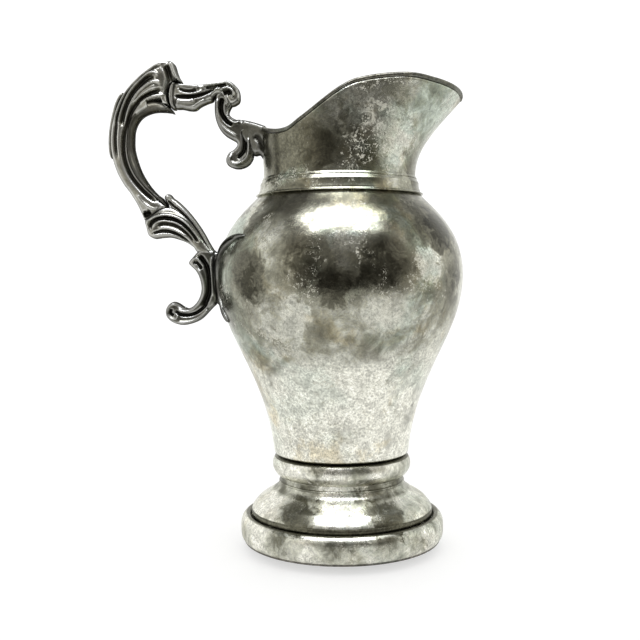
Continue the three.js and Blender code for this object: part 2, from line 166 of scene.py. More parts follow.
def new_mesh(name, verts, faces):
    """A smooth-shaded object, linked to the scene."""
    mesh = bpy.data.meshes.new(name)
    mesh.from_pydata([tuple(v) for v in verts], [], faces)
    for poly in mesh.polygons:
        poly.use_smooth = True
    obj = bpy.data.objects.new(name, mesh)
    bpy.context.collection.objects.link(obj)
    return obj


def grid_mesh(name, rows, close_rows=True, close_columns=True):
    """A mesh from rows of points. close_columns joins up each row, close_rows the last to the first."""
    rows = np.asarray(rows, float)
    n, m = rows.shape[:2]
    faces = []
    for i in range(n if close_rows else n - 1):
        for j in range(m if close_columns else m - 1):
            a, b = i * m + j, i * m + (j + 1) % m
            c, d = (i + 1) % n * m + (j + 1) % m, (i + 1) % n * m + j
            faces.append((a, b, c, d))
    return new_mesh(name, rows.reshape(-1, 3), faces)


def turned(name, outline, count=ROUND):
    """An outline of (radius, height) points, closed or on the axis at both ends, spun round the axis."""
    outline = np.array(outline)
    rows = [swing(outline, turn) for turn in np.linspace(0, 2 * np.pi, count, endpoint=False)]
    closed = np.allclose(outline[0], outline[-1])
    if closed:
        rows = [r[:-1] for r in rows]
    obj = grid_mesh(name, rows, close_columns=closed)
    outward(obj)
    return obj


def outward(obj):
    """Joins points that coincide and turns all faces outwards."""
    bm = bmesh.new()
    bm.from_mesh(obj.data)
    bmesh.ops.remove_doubles(bm, verts=bm.verts, dist=1e-6)
    bmesh.ops.recalc_face_normals(bm, faces=bm.faces)
    bm.to_mesh(obj.data)
    bm.free()


def mark_hollows(obj, dent):
    """Writes the vertex attribute "hollow": above 0.5 in grooves, below it on ridges."""
    rounds, kept = 10, 0.3  # how far the shape is softened before it is compared
    mesh = obj.data
    n = len(mesh.vertices)
    co = np.empty(n * 3)
    mesh.vertices.foreach_get("co", co)
    co = co.reshape(-1, 3)
    normals = np.empty(n * 3)
    mesh.vertices.foreach_get("normal", normals)
    normals = normals.reshape(-1, 3)
    edges = np.empty(len(mesh.edges) * 2, int)
    mesh.edges.foreach_get("vertices", edges)
    a, b = edges.reshape(-1, 2).T
    degree = np.bincount(np.concatenate([a, b]), minlength=n)[:, None]
    soft = co.copy()
    for _ in range(rounds):
        total = np.zeros_like(soft)
        np.add.at(total, a, soft[b])
        np.add.at(total, b, soft[a])
        soft = kept * soft + (1 - kept) * total / np.maximum(degree, 1)
    height = ((soft - co) * normals).sum(axis=1)
    value = np.clip(0.5 + height / (2 * dent), 0, 1)
    layer = mesh.attributes.new("hollow", "FLOAT", "POINT")
    layer.data.foreach_set("value", value.astype(np.float32))


def keep(obj, slot, *nodes, material, dent=None):
    if dent:
        mark_hollows(obj, dent)
    obj.data.materials.clear()
    obj.data.materials.append(material)
    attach(obj, "root")
    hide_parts(*nodes)


# ------------------------------ materials

COOL_TINT, BROWN_TINT = (0.72, 0.83, 0.82), (0.88, 0.8, 0.66)
SCALE_TINT, STAIN_AND_SHADE_TINT = (0.42, 0.41, 0.35), (0.2, 0.19, 0.14)
FROST, DIRT, POLISH = (0.56, 0.545, 0.465), (0.03, 0.029, 0.025), (0.78, 0.78, 0.75)


class Nodes:
    """Short calls for building a node tree, most of which return the new node's result."""

    def __init__(self, tree):
        self.tree = tree

    def add(self, kind, **values):
        """Returns the node itself."""
        node = self.tree.nodes.new(kind)
        for key, value in values.items():
            setattr(node, key, value)
        return node

    def link(self, a, b):
        self.tree.links.new(a, b)

    def split(self, coords):
        """Returns the three coordinates."""
        node = self.add("ShaderNodeSeparateXYZ")
        self.link(coords, node.inputs[0])
        return node.outputs

    def noise(self, coords, scale, detail, rough, distortion=0.0):
        node = self.add("ShaderNodeTexNoise")
        node.inputs["Scale"].default_value = scale
        node.inputs["Detail"].default_value = detail
        node.inputs["Roughness"].default_value = rough
        node.inputs["Distortion"].default_value = distortion
        self.link(coords, node.inputs["Vector"])
        return node.outputs["Fac"]

    def ramp(self, fac, low, high, out_low=0.0, out_high=1.0, kind="SMOOTHSTEP"):
        node = self.add("ShaderNodeMapRange", interpolation_type=kind)
        self.link(fac, node.inputs["Value"])
        limits = {"From Min": low, "From Max": high, "To Min": out_low, "To Max": out_high}
        for key, value in limits.items():
            node.inputs[key].default_value = value
        return node.outputs["Result"]

    def math(self, op, a, b=None):
        node = self.add("ShaderNodeMath", operation=op)
        for socket, value in zip(node.inputs, (a, b)):
            if isinstance(value, (int, float)):
                socket.default_value = value
            elif value is not None:
                self.link(value, socket)
        return node.outputs[0]

    def around(self, fac, spread):
        """Noise of 0 to 1 moved to lie about 0, and scaled."""
        return self.math("MULTIPLY", self.math("SUBTRACT", fac, 0.5), spread)

    def patch(self, place, spot, ragged, outer, inner):
        """Rises to the strength of spot, (x, y, z, radius, strength) in mm, over its ragged edge."""
        x, y, z, radius, strength = spot
        node = self.add("ShaderNodeVectorMath", operation="DISTANCE")
        self.link(place, node.inputs[0])
        node.inputs[1].default_value = (x * MM, y * MM, z * MM)
        gap = self.math("ADD", node.outputs["Value"], ragged)
        return self.ramp(gap, radius * outer * MM, radius * inner * MM, 0, strength)

    def mix(self, fac, a, b, blend="MIX"):
        node = self.add("ShaderNodeMix", data_type="RGBA", blend_type=blend)
        for key, value in (("Factor", fac), ("A", a), ("B", b)):
            socket = [s for s in node.inputs if s.name == key and s.enabled][0]
            if isinstance(value, tuple):
                socket.default_value = (*value, 1)
            else:
                self.link(value, socket)
        return [s for s in node.outputs if s.enabled][0]

    def tint(self, fac, colour, shade):
        return self.mix(fac, colour, shade, "MULTIPLY")


def new_material(name):
    """A material, its nodes and its shader."""
    material = bpy.data.materials.new(name)
    material.use_nodes = True
    return material, Nodes(material.node_tree), material.node_tree.nodes["Principled BSDF"]


def silver(name, metal, stained, dark, tarnish, frost=0.6, rough=0.16, dirt=0.0, shine=0.0, rise=None,
           spots=(), bands=(), tints=0.5, edge=0.85, pale=None, rub=1.0, gain=1.0, crusts=(), stains_and_shade=()):
    """Old silver plate, going from the colours metal to stained to dark as the tarnish deepens.

    tarnish: how much of it there is, 0 to 1. gain: its contrast. rise: how it changes with height,
    as (from height, to height, from, to). spots: more (above 0) or less (below 0) of it about a
    point, as (x, y, z, radius, strength), in mm from the origin. bands: rings of it, as (height,
    half width, strength). pale: (height of full effect, height of none, colour) for metal that is
    paler lower down, partly from wear and partly as a painted reflection of the bright floor, with
    the two heights given upwards.
    tints: strength of the cool and brown patches. rub: strength of the fine mottling and dark
    scale. frost: how common frosty flecks are. crusts: patches of them, and stains_and_shade:
    patches that are nearly black, some dark stains and some painted shade and painted
    reflection, both given as spots are. rough and edge: the shine, straight on and at a
    glance. dirt and shine: strength of the dirt in hollows and of the polish on ridges, for pieces
    that have the attribute "hollow".
    """
    material, n, shader = new_material(name)
    shader.inputs["Specular Tint"].default_value = (edge, edge, 0.97 * edge, 1)
    place = n.add("ShaderNodeTexCoord").outputs["Object"]
    up = n.split(place)[2]
    clouds = n.noise(place, 34, 4, 0.6, 0.5)
    blots = n.noise(place, 150, 5, 0.68, 0.6)
    patches = n.noise(place, 360, 4, 0.72, 0.7)
    grain = n.noise(place, 1500, 5, 0.8, 0.15)

    stain = n.math("MULTIPLY", clouds, 0.34)
    stain = n.math("ADD", stain, n.math("MULTIPLY", blots, 0.4))
    stain = n.math("ADD", stain, n.math("MULTIPLY", grain, 0.26))
    stain = n.math("ADD", n.math("MULTIPLY", stain, gain), 0.5 - 0.5 * gain)
    if rise:
        stain = n.math("ADD", stain, n.ramp(up, *rise))
    for spot in spots:
        stain = n.math("ADD", stain, n.patch(place, spot, n.around(blots, 0.022), 1.25, 0.6))
    for height, half, strength in bands:
        off = n.math("ABSOLUTE", n.math("SUBTRACT", up, height))
        stain = n.math("ADD", stain, n.ramp(off, half, 0.5 * half, 0, strength))
    start = 0.5 - 0.25 * tarnish
    light_stain = n.ramp(stain, start + 0.01, start + 0.13)
    deep_stain = n.ramp(stain, start + 0.11, start + 0.28)

    cool = n.ramp(n.noise(place, 47, 3, 0.6, 0.3), 0.48, 0.62)
    brown = n.ramp(n.noise(place, 71, 4, 0.65, 0.3), 0.52, 0.66)
    # Paler lower down: partly wear, partly a painted reflection of the bright floor.
    if pale:
        pale_low, pale_high, pale_colour = pale
        worn_and_lit = n.ramp(n.math("ADD", up, n.around(clouds, 0.07)), pale_high, pale_low)
        metal = n.mix(worn_and_lit, metal, pale_colour)
        stained = n.mix(worn_and_lit, stained, tuple(0.62 * c for c in pale_colour))
        cool = n.math("MULTIPLY", cool, n.ramp(worn_and_lit, 0, 1, 1, 0.35))
    colour = n.mix(light_stain, metal, stained)
    colour = n.tint(n.math("MULTIPLY", cool, tints), colour, COOL_TINT)
    colour = n.tint(n.math("MULTIPLY", brown, tints), colour, BROWN_TINT)
    colour = n.mix(deep_stain, colour, dark)

    # fine mottling
    fine = n.ramp(grain, 0.4, 0.6, 1 - 0.5 * rub, 1 + 0.42 * rub, "LINEAR")
    coarse = n.ramp(patches, 0.38, 0.62, 1 - 0.32 * rub, 1 + 0.24 * rub, "LINEAR")
    mottled = n.add("ShaderNodeVectorMath", operation="SCALE")
    n.link(colour, mottled.inputs[0])
    n.link(n.math("MULTIPLY", fine, coarse), mottled.inputs["Scale"])
    colour = mottled.outputs[0]

    # gritty dark scale and pits, in flocks
    grit = n.ramp(n.noise(place, 520, 7, 0.82, 0.5), 0.525, 0.575)
    pits = n.ramp(n.noise(place, 980, 3, 0.7, 1.0), 0.57, 0.64)
    flock = n.ramp(n.noise(place, 58, 5, 0.72, 0.4), 0.44, 0.62)
    scale = n.math("MULTIPLY", n.math("MAXIMUM", n.math("MULTIPLY", grit, 0.7), pits), flock)
    colour = n.tint(n.math("MULTIPLY", scale, 0.95 * rub), colour, SCALE_TINT)
    ragged = n.around(patches, 0.03)
    # Nearly black patches: some are dark stains, the rest painted shade and painted reflection.
    for spot in stains_and_shade:
        near = n.patch(place, spot, n.math("MULTIPLY", ragged, 0.6), 1.12, 0.84)
        colour = n.tint(near, colour, STAIN_AND_SHADE_TINT)

    # frosty flecks, in flocks and crusts, and fewest where the tarnish is deep
    crumbs = n.noise(place, 1150, 2, 0.6, 1.2)
    flocks = n.ramp(n.noise(place, 88, 4, 0.7), 0.66 - 0.2 * frost, 0.76 - 0.2 * frost)
    flecks = n.math("MULTIPLY", n.ramp(crumbs, 0.545, 0.61), flocks)
    for spot in crusts:
        near = n.patch(place, spot, ragged, 1.2, 0.7)
        near = n.math("MULTIPLY", near, n.ramp(patches, 0.47, 0.57, 0.15, 0.95))
        flecks = n.math("MAXIMUM", flecks, near)
    flecks = n.math("MULTIPLY", flecks, n.ramp(deep_stain, 0.0, 0.8, 1, 0.1))
    colour = n.mix(n.math("MULTIPLY", flecks, 0.85), colour, FROST)
    n.link(n.ramp(flecks, 0, 1, 1, 0.25, "LINEAR"), shader.inputs["Metallic"])

    if dirt or shine:
        dent = n.add("ShaderNodeAttribute", attribute_name="hollow").outputs["Fac"]
        colour = n.mix(n.math("MULTIPLY", n.ramp(dent, 0.54, 0.98), dirt), colour, DIRT)
        colour = n.mix(n.math("MULTIPLY", n.ramp(dent, 0.4, 0.05), shine), colour, POLISH)
    n.link(colour, shader.inputs["Base Color"])
    base_rough = n.ramp(blots, 0.3, 0.7, rough - 0.04, rough + 0.1)
    roughness = n.math("ADD", n.math("MULTIPLY", flecks, 0.2), base_rough)
    n.link(roughness, shader.inputs["Roughness"])
    bump = n.add("ShaderNodeBump")
    bump.inputs["Strength"].default_value = 0.5
    bump.inputs["Distance"].default_value = 0.00008
    relief = n.math("ADD", n.math("MULTIPLY", grain, 0.7), n.math("MULTIPLY", crumbs, 0.3))
    n.link(relief, bump.inputs["Height"])
    n.link(bump.outputs[0], shader.inputs["Normal"])
    return material


FOOT_SILVER = silver(
    "foot_silver", (0.82, 0.81, 0.72), (0.5, 0.5, 0.42), (0.12, 0.117, 0.085), 0.26, 0.9, 0.27, dirt=0.95,
    rub=0.75, tints=0.3, gain=1.4,
    bands=[(Z_DOME + 0.65 * MM, 0.95 * MM, 0.5), (Z_BODY - 0.1 * MM, 0.5 * MM, 0.4),
           (Z_COLLAR - 0.9 * MM, 1.7 * MM, 0.16), (Z_COLLAR + 1.1 * MM, 1.0 * MM, 0.2)],
    spots=[(-13, -21, 12, 6, 0.2), (12, -22, 12, 6, 0.22), (0, -24, 12, 5, -0.2), (-4, -29, 5.6, 4, 0.12),
           (12, -27, 5.8, 3.5, 0.1), (-18, -23, 5.8, 4, 0.12), (24, -17, 3.5, 4, -0.12),
           (0, -20, 20.3, 6, -0.2), (3, -19.5, 24.4, 4, 0.16), (-7, -19, 24.4, 3.4, 0.18)],
)
# Darker towards the neck and paler towards the foot: partly tarnish and wear, partly painted shade on the
# shoulder and a painted reflection of the bright floor on the lower body.
BODY_SILVER = silver(
    "body_silver", (0.51, 0.51, 0.44), (0.28, 0.275, 0.215), (0.1, 0.096, 0.072), 0.25, 0.75, 0.15,
    rise=(Z_BODY + 12 * MM, Z_NECK, -0.08, 0.12), bands=[(Z_BODY + 0.1 * MM, 0.7 * MM, 0.4)],
    pale=(Z_BODY + 16 * MM, Z_BODY + 37 * MM, (0.78, 0.775, 0.685)), tints=0.8, rub=0.7, gain=1.5, edge=1.0,
    crusts=[(-12, -31, 66, 6, 0.55), (12, -31, 66, 8, 0.5), (23, -26.5, 79.5, 4, 0.8),
            (-25, -20, 85, 4, 0.5), (-24, -24, 68, 4, 0.5), (15, -30, 85, 3, 0.5)],
    # Nearly black patches: the one on the left is a brown stain and the one low on the right a dark mark;
    # those at the front and on the right shoulder are painted reflection and painted shade.
    stains_and_shade=[(28, -18, 90.5, 6.4, 0.8), (21.5, -21.5, 95, 4.6, 0.4), (30.1, -17.7, 74, 2.4, 0.7),
           (-24.4, -24, 75, 3.4, 0.55), (-10, -33, 79, 4.5, 0.4), (9, -33.5, 78.5, 5, 0.4),
           (-1, -34, 74.5, 4, 0.3)],
    # The spots of more tarnish at the front of the belly and on the right shoulder deepen the dark
    # reflection there: painted reflection and painted shade.
    spots=[(-10.5, -32, 80, 7, 0.1), (10.5, -33, 79, 8, 0.1), (0, -34.5, 76, 7, 0.12),
           (-24, -24, 76, 6.5, 0.27), (-20, -28, 86, 7, -0.05), (23, -26.5, 79.5, 3.8, -0.14),
           (26.5, -19.5, 90.5, 7, 0.5), (30, -16, 75, 7, 0.13), (16, -29, 68, 7, -0.04),
           (-16, -30, 65, 7, -0.05), (-14, -24, 98, 6, 0.1), (-28, -16, 66, 6, 0.12), (8, -30, 57, 5, 0.14),
           (-3, -34, 73, 4, 0.14), (2, -34, 84, 6, -0.12), (-30, -11, 90, 8, -0.34), (34, -7, 76, 7, -0.3),
           (-12, -31, 66, 4, -0.12), (-6, -33, 61, 4, 0.1), (21, -12, 43, 3.5, 0.12),
           (19.5, -11, 37, 3, 0.12), (-33, -10, 66, 5, 0.1), (0, -21, 32, 3, 0.12)],
)
NECK_SILVER = silver(
    "neck_silver", (0.6, 0.6, 0.52), (0.33, 0.328, 0.26), (0.13, 0.125, 0.09), 0.4, 0.9, 0.17, dirt=0.5,
    rub=0.7, tints=0.75, gain=1.4, edge=1.0,
    crusts=[(10, -20, 119, 6.5, 0.75), (15, -15, 109, 4, 0.75), (-12, -18, 118, 4, 0.35),
            (-4, -22, 107, 3.5, 0.45)],
    # Nearly black patches on the front of the neck: painted reflection of the dark front.
    stains_and_shade=[(2.3, -21.8, 116.5, 3.4, 0.45), (7, -21, 111.5, 4, 0.45), (-9, -20, 107, 3, 0.35)],
    spots=[(-2, -22, 110, 4.5, 0.1), (10, -19, 118, 7, -0.2), (15, -15, 112, 5, -0.2),
           (20, -8, 106, 5, 0.14), (-11, -19, 111, 8, 0.16), (-18, -12, 112, 9, 0.24),
           (4, -21, 122, 7, -0.12), (-14, -17, 96.5, 7, 0.16), (21, -8, 96.5, 6, 0.2)],
)
# A dark copy of the neck's silver: painted shade along the lip wire.
RIM_SHADED_SILVER = silver(
    "rim_painted_shade", (0.2, 0.195, 0.17), (0.13, 0.125, 0.1), (0.06, 0.055, 0.045), 0.4, 0.2, 0.3,
)
HANDLE_SILVER = silver(
    "handle_silver", (0.44, 0.433, 0.385), (0.27, 0.265, 0.225), (0.11, 0.105, 0.085), 0.4, 0.2, 0.27,
    dirt=0.68, shine=0.4, tints=0.3, edge=0.1, rub=0.5,
)
# A brighter copy of the handle's silver: painted light on the inner crescent, which the lamps leave in
# shade.
CRESCENT_LIT_SILVER = silver(
    "crescent_painted_light", (0.62, 0.61, 0.55), (0.42, 0.41, 0.35), (0.14, 0.135, 0.11), 0.35, 0.2, 0.3,
    dirt=0.8, shine=0.8, tints=0.3, edge=0.15, rub=0.5,
)
# A darker copy of the handle's silver: painted shade on the scrolls against the neck and the belly.
SCROLL_SHADED_SILVER = silver(
    "scroll_painted_shade", (0.25, 0.246, 0.218), (0.15, 0.147, 0.122), (0.075, 0.072, 0.058), 0.4, 0.2, 0.27,
    dirt=0.75, shine=0.38, tints=0.3, edge=0.1, rub=0.5,
)
# A still darker copy: painted shade on the neck bracket and the body web, where the handle meets the jug.
BRACKET_SHADED_SILVER = silver(
    "bracket_painted_shade", (0.16, 0.158, 0.14), (0.1, 0.098, 0.08), (0.05, 0.048, 0.038), 0.4, 0.2, 0.3,
    dirt=0.85, shine=0.2, tints=0.3, edge=0.1, rub=0.5,
)
# The darkest copy of the handle's silver: painted shade on the saddle plate under the handle.
SADDLE_SHADED_SILVER = silver(
    "saddle_painted_shade", (0.15, 0.147, 0.128), (0.1, 0.097, 0.08), (0.05, 0.047, 0.038), 0.45, 0.2, 0.3,
    dirt=0.9, shine=0.15, tints=0.3, edge=0.1, rub=0.5,
)
# The closing plate is dark: its edge is the thin dark line under the foot, partly the plate's own colour
# and partly a painted contact shadow.
PLATE_METAL = silver(
    "plate_metal", (0.26, 0.25, 0.22), (0.18, 0.17, 0.15), (0.07, 0.07, 0.06), 0.5, 0.2, 0.45,
)

# ------------------------------ turned pieces


def body_outline(offset, count=BODY_LINE):
    """The body's line from its foot to the neck, moved outwards by offset."""
    lower = bezier(
        (BODY_FOOT_R, Z_BODY),
        (BODY_FOOT_R + 0.14 * (BELLY_R - BODY_FOOT_R), Z_BODY + 0.48 * BELLY_RISE),
        (BELLY_R, Z_BELLY - 0.34 * BELLY_RISE), (BELLY_R, Z_BELLY), count,
    )
    upper = bezier(
        (BELLY_R, Z_BELLY), (BELLY_R, Z_BELLY + 0.56 * SHOULDER_RISE),
        (SHOULDER_R + 0.14 * SHOULDER_RISE, Z_NECK - 0.15 * SHOULDER_RISE),
        (SHOULDER_R, Z_NECK), count,
    )
    line, _ = shifted(np.vstack([lower, upper[1:]]), offset)
    line[-1, 1] = Z_NECK
    return line


def make_base_plate():
    r, z = PLATE_R, Z_BAND
    vent, vent_r = 12 * MM, 1.5 * MM
    outline = rounded([(0, 0), (r, 0), (r, z), (0, z)], 0.15 * MM)
    obj = turned("foot_closing_plate", outline, PLATE_ROUND)
    cutter = turned("vent_cutter", [(0, -z), (vent_r, -z), (vent_r, 2 * z), (0, 2 * z)], VENT_ROUND)
    cutter.location.x = vent
    cut = obj.modifiers.new("vent", "BOOLEAN")
    cut.operation, cut.object, cut.solver = "DIFFERENCE", cutter, "EXACT"
    bpy.context.view_layer.objects.active = obj
    bpy.ops.object.modifier_apply(modifier="vent")
    bpy.data.objects.remove(cutter)
    keep(obj, "plate_metal", "base_plate", material=PLATE_METAL)


def foot_piece(name, node, outline):
    keep(turned(name, outline), "foot_silver", node, material=FOOT_SILVER, dent=MOULDING_DENT)


def make_foot_band():
    top, lip = Z_DOME, DOME_R
    outer = smooth([
        (FOOT_R - 0.75 * MM, Z_BAND), (FOOT_R - 0.2 * MM, Z_BAND + 0.9 * MM),
        (FOOT_R, Z_BAND + 2.6 * MM), (FOOT_R - 0.1 * MM, top - 2.3 * MM),
        (FOOT_R - 0.55 * MM, top - 1.1 * MM), (FOOT_R - 1.35 * MM, top - 0.25 * MM),
        (lip + 0.9 * MM, top), (lip + 0.35 * MM, top - 0.2 * MM),
        (lip + 0.12 * MM, top - 0.75 * MM),
    ], 8)
    inner = [
        (lip - 2.4 * MM, top - 0.75 * MM), (lip - 2.4 * MM, top - 1.5 * MM),
        (FOOT_R - 2.7 * MM, top - 1.9 * MM), (FOOT_R - 2 * MM, Z_BAND),
    ]
    foot_piece("foot_rolled_band", "foot_band", [*outer, *inner, outer[0]])


def make_foot_dome():
    rise = Z_COLLAR - Z_DOME
    outer = smooth([
        (DOME_R - 0.15 * MM, Z_DOME + 1.0 * MM), (DOME_R - 0.2 * MM, Z_DOME + 1.5 * MM),
        (DOME_R - 0.75 * MM, Z_DOME + 0.27 * rise), (DOME_R - 2.3 * MM, Z_DOME + 0.46 * rise),
        (COLLAR_R + 3.3 * MM, Z_DOME + 0.66 * rise), (COLLAR_R + 1.0 * MM, Z_DOME + 0.84 * rise),
        (COLLAR_R + 0.1 * MM, Z_COLLAR),
    ], 12)
    inner = [(p[0] - WALL, p[1] - 0.6 * WALL) for p in outer[::-4]]
    inner[0] = (COLLAR_R - WALL, Z_COLLAR)
    bottom = Z_DOME - 0.6 * MM
    rim = [(DOME_R, bottom), (DOME_R, Z_DOME + 0.7 * MM)]
    outline = [*rim, *outer, *inner, (DOME_R - WALL, bottom), rim[0]]
    foot_piece("foot_flared_dome", "foot_dome", outline)


def make_foot_collar():
    hollow, top = COLLAR_R - WALL, Z_WAIST
    outline = [
        (hollow, Z_COLLAR), (COLLAR_R + 0.3 * MM, Z_COLLAR), (COLLAR_R + 0.3 * MM, Z_COLLAR + 0.35 * MM),
        (COLLAR_R, Z_COLLAR + 0.5 * MM), (COLLAR_R, top), (hollow, top), (hollow, Z_COLLAR),
    ]
    foot_piece("foot_fillet", "foot_collar", rounded(outline, 0.15 * MM))


def make_waist_ring():
    rise = Z_BODY - Z_WAIST
    outer = smooth([
        (COLLAR_R + 0.2 * MM, Z_WAIST), (WAIST_R - 1.0 * MM, Z_WAIST + 0.13 * rise),
        (WAIST_R - 0.2 * MM, Z_WAIST + 0.36 * rise), (WAIST_R, Z_WAIST + 0.55 * rise),
        (WAIST_R - 0.15 * MM, Z_WAIST + 0.76 * rise), (WAIST_R - 0.65 * MM, Z_WAIST + 0.93 * rise),
        (WAIST_R - 1.2 * MM, Z_BODY),
    ], 10)
    hollow = COLLAR_R - WALL
    outline = [*outer, (hollow, Z_BODY), (hollow, Z_WAIST), outer[0]]
    foot_piece("waist_moulding", "waist_ring", outline)


def make_body():
    outer, inner = body_outline(0), body_outline(-WALL, 50)[::-1]
    start = int(np.searchsorted(outer[:BODY_LINE, 1], Z_BODY + 1.0 * MM))
    groove = [
        (0, Z_BODY), (BODY_FOOT_R - 0.9 * MM, Z_BODY), (BODY_FOOT_R - 0.9 * MM, Z_BODY + 0.35 * MM),
        (BODY_FOOT_R - 0.35 * MM, Z_BODY + 0.5 * MM),
    ]
    floor = Z_BODY + WALL
    inner = [p for p in inner if p[1] > floor + 2 * MM]
    side = inner[-1][0]
    bowl = bezier(inner[-1], (side - 0.3 * MM, floor), (side - 3 * MM, floor), (0, floor), 14)
    obj = turned("body_baluster", [*groove, *outer[start:], *inner, *bowl[1:]])
    keep(obj, "body_silver", "body_shell", material=BODY_SILVER)


def make_neck_band():
    bore, h, z = NECK_R + 0.1 * MM, Z_BAND_TOP - Z_NECK, Z_NECK
    outer = smooth([
        (SHOULDER_R + 0.15 * MM, z), (BAND_R, z + 0.25 * MM), (BAND_R - 0.08 * MM, z + 0.52 * MM),
        (BAND_R - 0.62 * MM, z + 0.72 * MM), (BAND_R - 0.85 * MM, z + 0.25 * h),
        (NECK_R + 1.08 * MM, z + 0.4 * h), (NECK_R + 0.98 * MM, z + 0.54 * h),
        (NECK_R + 1.0 * MM, z + 0.64 * h), (NECK_R + 0.85 * MM, z + 0.7 * h),
        (NECK_R + 0.5 * MM, z + 0.82 * h), (NECK_R + 0.36 * MM, z + 0.845 * h),
        (NECK_R + 0.46 * MM, z + 0.88 * h), (NECK_R + 0.12 * MM, z + h),
    ], 8)
    obj = turned("neck_moulding", [*outer, (bore, z + h), (bore, z), outer[0]])
    keep(obj, "neck_silver", "neck_band", material=NECK_SILVER, dent=NECK_BAND_DENT)


# ------------------------------ neck and lip


def rim_rise(degrees):
    line = smooth(list(zip(RIM_ANGLES, RIM_RISES)), 24)
    return np.interp(np.minimum(degrees, 360 - degrees), line[:, 0], line[:, 1]) * MM


def rim_radius(degrees):
    front = (1 + np.cos(np.radians(degrees))) / 2
    return NECK_R + LIP_FLARE + SPOUT_REACH * front**SPOUT_SHARPNESS


def neck_line(degrees, offset):
    """The neck's line from the seam to the rim, moved outwards by offset, and its direction there."""
    reach, start = rim_radius(degrees) - NECK_R, Z_BAND_TOP
    rise = rim_rise(degrees) - (Z_BAND_TOP - Z_NECK)
    line = bezier(
        (NECK_R, start),
        (NECK_R, start + 0.38 * rise),
        (NECK_R + 0.46 * reach, start + 0.64 * rise),
        (NECK_R + reach, start + rise),
        NECK_LINE,
    )
    line, along = shifted(line, offset)
    return np.vstack([[(NECK_R + offset, Z_NECK)], line]), along


def make_neck():
    rows, wire = [], []
    a = np.linspace(0, 2 * np.pi, WIRE_LINE, endpoint=False)
    section = RIM_WIRE_R * np.stack([1.15 * np.cos(a), np.sin(a)], axis=1)
    for degrees in np.arange(0, 360, NECK_STEP):
        outer, along = neck_line(degrees, 0)
        inner, _ = neck_line(degrees, -WALL)
        rows.append(swing(np.vstack([outer, inner[::-1]]), math.radians(degrees)))
        centre = (outer[-1] + inner[-1]) / 2 + along * (RIM_WIRE_R + RIM_WIRE_SEAM)
        wire.append(swing(centre + section, math.radians(degrees)))
    shell, lip = grid_mesh("pouring_neck_shell", rows), grid_mesh("lip_wire", wire)
    outward(shell)
    outward(lip)
    keep(shell, "neck_silver", "pouring_neck", material=NECK_SILVER, dent=NECK_DENT)
    keep(lip, "neck_silver", "rim_wire", material=RIM_SHADED_SILVER, dent=NECK_DENT)


# ------------------------------ the cast handle
# The castings are alike on both faces. Each is an outline in the handle's plane, domed from its edge,
# with ridges and grooves run along lines. Points are (x, z) in mm from the back of the grip, and all
# widths, heights and depths of the castings are in mm too.

SIDE_REACH, SIDE_SHARE = 0.55, 0.62  # the steep side: how far in it goes, and its share of the depth
STROKE_REACH = 0.5  # strokes fade out this near to the edge
LEAST_HEIGHT = 0.02
FACE_DEPTH, SIDE_SHADE_HOLLOW = 2.2 * MM, 0.88  # nearer the middle plane than this, ridges lose their shine and the sides are darkened as painted shade


def nearest_on(points, line):
    """The distance from each point to the line, the nearest point on it, and its share along it."""
    a, step = line[:-1], np.diff(line, axis=0)
    length = np.linalg.norm(step, axis=1)
    along = np.concatenate([[0], np.cumsum(length)[:-1]])
    gap = points[:, None] - a[None]
    t = np.clip((gap * step).sum(-1) / np.maximum(length**2, 1e-12), 0, 1)
    spots = a + t[..., None] * step
    dist = np.linalg.norm(points[:, None] - spots, axis=-1)
    pick = dist.argmin(axis=1)
    rows = np.arange(len(points))
    share = (along[pick] + t[rows, pick] * length[pick]) / length.sum()
    return dist[rows, pick], spots[rows, pick], share


def is_inside(points, line):
    """Whether each point lies inside the closed line."""
    a, b = line, np.roll(line, -1, axis=0)
    x, z = points[:, :1], points[:, 1:]
    spans = (a[:, 1] > z) != (b[:, 1] > z)
    rise = np.where(b[:, 1] == a[:, 1], 1e-12, b[:, 1] - a[:, 1])
    cross = a[:, 0] + (z - a[:, 1]) / rise * (b[:, 0] - a[:, 0])
    return (spans & (x < cross)).sum(axis=1) % 2 == 1


def stroke(points, width, height, ends=0.12):
    """A ridge (height above 0) or groove (below 0) along a line, in mm, fading out at its ends."""
    line = smooth(points, 6)

    def lift(at):
        dist, _, share = nearest_on(at, line)
        fade = np.clip(np.minimum(share, 1 - share) / ends, 0, 1) if ends else 1
        fade = fade * fade * (3 - 2 * fade) if ends else 1
        return height * fade * np.exp(-((dist / width) ** 2))

    return lift


def sheet(outline, height, pitch):
    """A grid trimmed to the outline: its points, their heights, whether on the edge, and the quads."""
    line = closed_line(outline)
    ring = np.vstack([line, line[:1]])
    least, most = line.min(axis=0) - 2 * pitch, line.max(axis=0) + 2 * pitch
    nx, nz = (np.ceil((most - least) / pitch).astype(int) + 1).tolist()
    columns, rows = least[0] + pitch * np.arange(nx), least[1] + pitch * np.arange(nz)
    gx, gz = np.meshgrid(columns, rows, indexing="ij")
    points = np.stack([gx.ravel(), gz.ravel()], axis=1)
    dist, spots, _ = nearest_on(points, ring)
    solid = is_inside(points, line) & (dist > 0.35 * pitch)
    grid = np.arange(nx * nz).reshape(nx, nz)
    quads = np.stack([grid[:-1, :-1], grid[1:, :-1], grid[1:, 1:], grid[:-1, 1:]], axis=-1)
    quads = quads.reshape(-1, 4)
    quads = quads[solid[quads].any(axis=1)]
    edge = ~solid
    points = np.where(edge[:, None], spots, points)
    dist = np.where(edge, 0, dist)
    used = np.unique(quads)
    where = np.full(nx * nz, -1)
    where[used] = np.arange(len(used))
    points, dist, edge = points[used], dist[used], edge[used]
    heights = np.where(edge, 0, np.maximum(height(points, dist), LEAST_HEIGHT))
    return points, heights, edge, where[quads]


